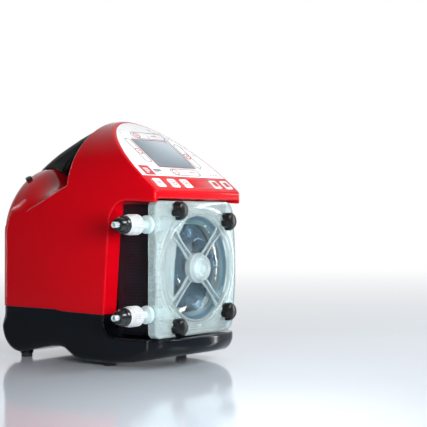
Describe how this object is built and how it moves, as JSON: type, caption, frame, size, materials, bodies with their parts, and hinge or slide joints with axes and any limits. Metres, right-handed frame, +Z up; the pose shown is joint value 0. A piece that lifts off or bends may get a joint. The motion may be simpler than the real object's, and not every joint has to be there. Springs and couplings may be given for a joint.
{
  "type": "peristaltic pump",
  "caption": "Bench peristaltic dosing pump: red moulded case with carrying handle and sloping display panel, roller head behind a clear cover, side hose fittings.",
  "frame": {"origin": "on the floor, at the middle of the four mounting holes in the feet", "axes": "+Z up, the pump head and its cover face -Y, both hose connections leave towards -X"},
  "size_m": [0.2335, 0.3075, 0.321],
  "materials": {
    "red_shell": "gloss",
    "base_black": "satin",
    "handle_black": "satin",
    "seal_rubber": "matte",
    "foot_rubber": "matte",
    "screw_steel": "satin",
    "film_white": "semi-gloss",
    "display_dark": "satin",
    "display_glass": "gloss",
    "board_green": "satin",
    "key_white": "satin",
    "rear_black": "textured",
    "socket_metal": "satin",
    "cap_black": "satin",
    "rocker_red": "gloss",
    "head_black": "anodised",
    "motor_dark": "satin",
    "shaft_steel": "satin",
    "gear_brass": "satin",
    "rotor_grey": "satin",
    "roller_grey": "satin",
    "raceway_clear": "satin",
    "tube_cream": "satin",
    "cover_frost": "frosted",
    "window_clear": "gloss",
    "knob_black": "gloss",
    "adapter_white": "satin",
    "nut_white": "satin",
    "insert_black": "gloss",
    "spigot_grey": "satin"
  },
  "bodies": {
    "pump_case": {"lower_enclosure": "base_black", "upper_enclosure": "red_shell", "enclosure_gasket": "seal_rubber", "carry_handle": "handle_black", "case_screws": "screw_steel", "feet": "foot_rubber", "panel_overlay": "film_white", "display_module": "display_dark", "display_glass": "display_glass", "control_board": "board_green", "key_domes": "seal_rubber", "rear_plate": "rear_black", "rear_plate_screws": "screw_steel", "signal_sockets": "socket_metal", "socket_caps": "cap_black", "power_inlet": "cap_black", "vent_plug": "cap_black", "power_supply": "board_green", "head_flange": "head_black", "head_block": "head_black", "gearbox_plate": "head_black", "head_screws": "screw_steel", "raceway": "raceway_clear", "threaded_inserts": "gear_brass", "shaft_bearings": "shaft_steel", "motor": "motor_dark", "pump_tube": "tube_cream", "outlet_adapter": "adapter_white", "inlet_adapter": "adapter_white", "outlet_insert": "insert_black", "inlet_insert": "insert_black", "outlet_spigot": "spigot_grey", "inlet_spigot": "spigot_grey", "leak_sensor": "key_white"},
    "rotor": {"drive_shaft": "shaft_steel", "drive_gear": "gear_brass", "rotor_carrier": "rotor_grey", "roller_axles": "shaft_steel"},
    "roller_1": {"roller_1": "roller_grey"},
    "roller_2": {"roller_2": "roller_grey"},
    "roller_3": {"roller_3": "roller_grey"},
    "roller_4": {"roller_4": "roller_grey"},
    "motor_rotor": {"motor_shaft": "shaft_steel"},
    "head_cover": {"head_cover": "cover_frost", "cover_window": "window_clear", "cover_bearing": "shaft_steel", "cover_seal": "seal_rubber"},
    "knob_1": {"knob_1": "knob_black"},
    "knob_2": {"knob_2": "knob_black"},
    "knob_3": {"knob_3": "knob_black"},
    "knob_4": {"knob_4": "knob_black"},
    "key_menu": {"key_menu": "key_white"},
    "key_down": {"key_down": "key_white"},
    "key_up": {"key_up": "key_white"},
    "key_stop": {"key_stop": "key_white"},
    "key_start": {"key_start": "key_white"},
    "outlet_nut": {"outlet_nut": "nut_white"},
    "inlet_nut": {"inlet_nut": "nut_white"},
    "power_rocker": {"power_rocker": "rocker_red"}
  },
  "joints": [
    {"name": "rotor_spin", "type": "hinge", "parent": "pump_case", "child": "rotor", "pos_m": [0, -0.142, 0.1255], "axis": [0, -1, 0], "continuous": true},
    {"name": "roller_1_spin", "type": "hinge", "parent": "rotor", "child": "roller_1", "pos_m": [0.04547, -0.151, 0.13475], "axis": [0, -1, 0], "continuous": true},
    {"name": "roller_2_spin", "type": "hinge", "parent": "rotor", "child": "roller_2", "pos_m": [-0.00925, -0.151, 0.17097], "axis": [0, -1, 0], "continuous": true},
    {"name": "roller_3_spin", "type": "hinge", "parent": "rotor", "child": "roller_3", "pos_m": [-0.04547, -0.151, 0.11625], "axis": [0, -1, 0], "continuous": true},
    {"name": "roller_4_spin", "type": "hinge", "parent": "rotor", "child": "roller_4", "pos_m": [0.00925, -0.151, 0.08003], "axis": [0, -1, 0], "continuous": true},
    {"name": "motor_spin", "type": "hinge", "parent": "pump_case", "child": "motor_rotor", "pos_m": [0, -0.111, 0.1735], "axis": [0, -1, 0], "continuous": true},
    {"name": "cover_lift_off", "type": "slide", "parent": "pump_case", "child": "head_cover", "axis": [0, -1, 0], "range_m": [0, 0.05]},
    {"name": "knob_1_turn", "type": "hinge", "parent": "head_cover", "child": "knob_1", "pos_m": [0.06, -0.172, 0.1855], "axis": [0, -1, 0], "continuous": true},
    {"name": "knob_2_turn", "type": "hinge", "parent": "head_cover", "child": "knob_2", "pos_m": [0.06, -0.172, 0.0655], "axis": [0, -1, 0], "continuous": true},
    {"name": "knob_3_turn", "type": "hinge", "parent": "head_cover", "child": "knob_3", "pos_m": [-0.0425, -0.172, 0.0519], "axis": [0, -1, 0], "continuous": true},
    {"name": "knob_4_turn", "type": "hinge", "parent": "head_cover", "child": "knob_4", "pos_m": [-0.0425, -0.172, 0.1991], "axis": [0, -1, 0], "continuous": true},
    {"name": "key_menu_press", "type": "slide", "parent": "pump_case", "child": "key_menu", "axis": [0, 0.6157, -0.788], "range_m": [0, 0.0008], "stiffness_N_per_m": 300, "springref_m": -0.001},
    {"name": "key_down_press", "type": "slide", "parent": "pump_case", "child": "key_down", "axis": [0, 0.6157, -0.788], "range_m": [0, 0.0008], "stiffness_N_per_m": 300, "springref_m": -0.001},
    {"name": "key_up_press", "type": "slide", "parent": "pump_case", "child": "key_up", "axis": [0, 0.6157, -0.788], "range_m": [0, 0.0008], "stiffness_N_per_m": 300, "springref_m": -0.001},
    {"name": "key_stop_press", "type": "slide", "parent": "pump_case", "child": "key_stop", "axis": [0, 0.6157, -0.788], "range_m": [0, 0.0008], "stiffness_N_per_m": 300, "springref_m": -0.001},
    {"name": "key_start_press", "type": "slide", "parent": "pump_case", "child": "key_start", "axis": [0, 0.6157, -0.788], "range_m": [0, 0.0008], "stiffness_N_per_m": 300, "springref_m": -0.001},
    {"name": "outlet_nut_turn", "type": "hinge", "parent": "pump_case", "child": "outlet_nut", "pos_m": [-0.11, -0.151, 0.1815], "axis": [-1, 0, 0], "continuous": true},
    {"name": "inlet_nut_turn", "type": "hinge", "parent": "pump_case", "child": "inlet_nut", "pos_m": [-0.11, -0.151, 0.0695], "axis": [-1, 0, 0], "continuous": true},
    {"name": "power_rocker_tilt", "type": "hinge", "parent": "pump_case", "child": "power_rocker", "pos_m": [0.024, 0.1095, 0.168], "axis": [1, 0, 0], "range_deg": [-14, 0]}
  ],
  "couplings": [
    {"joint": "roller_1_spin", "follows": "rotor_spin", "ratio": -6.2},
    {"joint": "roller_2_spin", "follows": "rotor_spin", "ratio": -6.2},
    {"joint": "roller_3_spin", "follows": "rotor_spin", "ratio": -6.2},
    {"joint": "roller_4_spin", "follows": "rotor_spin", "ratio": -6.2},
    {"joint": "motor_spin", "follows": "rotor_spin", "ratio": -3}
  ]
}
